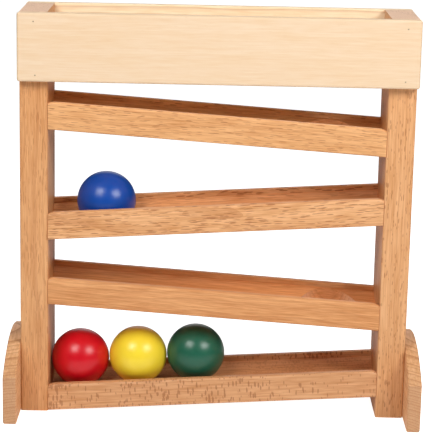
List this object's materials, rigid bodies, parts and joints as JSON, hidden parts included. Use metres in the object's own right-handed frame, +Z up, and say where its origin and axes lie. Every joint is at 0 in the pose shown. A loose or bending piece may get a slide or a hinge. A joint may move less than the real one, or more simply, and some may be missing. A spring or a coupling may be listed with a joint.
{
  "type": "marble run",
  "caption": "Wooden ball run: sloped channelled ramps with drop holes between two upright boards on arched feet, an open box on top and a collecting tray.",
  "frame": {"origin": "centre of the run's footprint, on the ground", "axes": "+Z up, +X to the right seen from the front, +Y to the back"},
  "size_m": [0.3714, 0.148, 0.364],
  "materials": {
    "beech": "planed and oiled",
    "limewood": "sanded, bare",
    "dowel_beech": "fluted, bare",
    "nail_steel": "bright wire",
    "screw_steel": "zinc plated",
    "red_lacquer": "gloss lacquer",
    "yellow_lacquer": "gloss lacquer",
    "green_lacquer": "gloss lacquer",
    "blue_lacquer": "gloss lacquer"
  },
  "bodies": {
    "stand": {"left_post": "beech", "right_post": "beech", "front_panel": "limewood", "back_panel": "limewood", "front_panel_nails": "nail_steel", "back_panel_nails": "nail_steel", "upper_ramp": "beech", "second_ramp": "beech", "third_ramp": "beech", "bottom_tray": "beech", "upper_ramp_dowels": "dowel_beech", "second_ramp_dowels": "dowel_beech", "third_ramp_dowels": "dowel_beech", "bottom_tray_dowels": "dowel_beech", "left_foot": "beech", "right_foot": "beech", "left_foot_screws": "screw_steel", "right_foot_screws": "screw_steel"},
    "red_ball": {"red_ball": "red_lacquer"},
    "yellow_ball": {"yellow_ball": "yellow_lacquer"},
    "green_ball": {"green_ball": "green_lacquer"},
    "blue_ball": {"blue_ball": "blue_lacquer"}
  },
  "joints": [
    {"name": "red_ball_roll", "type": "slide", "parent": "stand", "child": "red_ball", "axis": [0.998, 0, 0.063], "range_m": [0, 0.046]},
    {"name": "yellow_ball_roll", "type": "slide", "parent": "red_ball", "child": "yellow_ball", "axis": [0.998, 0, 0.063], "range_m": [0, 0.046]},
    {"name": "green_ball_roll", "type": "slide", "parent": "yellow_ball", "child": "green_ball", "axis": [0.998, 0, 0.063], "range_m": [0, 0.046]},
    {"name": "blue_ball_drop", "type": "slide", "parent": "stand", "child": "blue_ball", "axis": [0, 0, -1], "range_m": [0, 0.0536]}
  ]
}
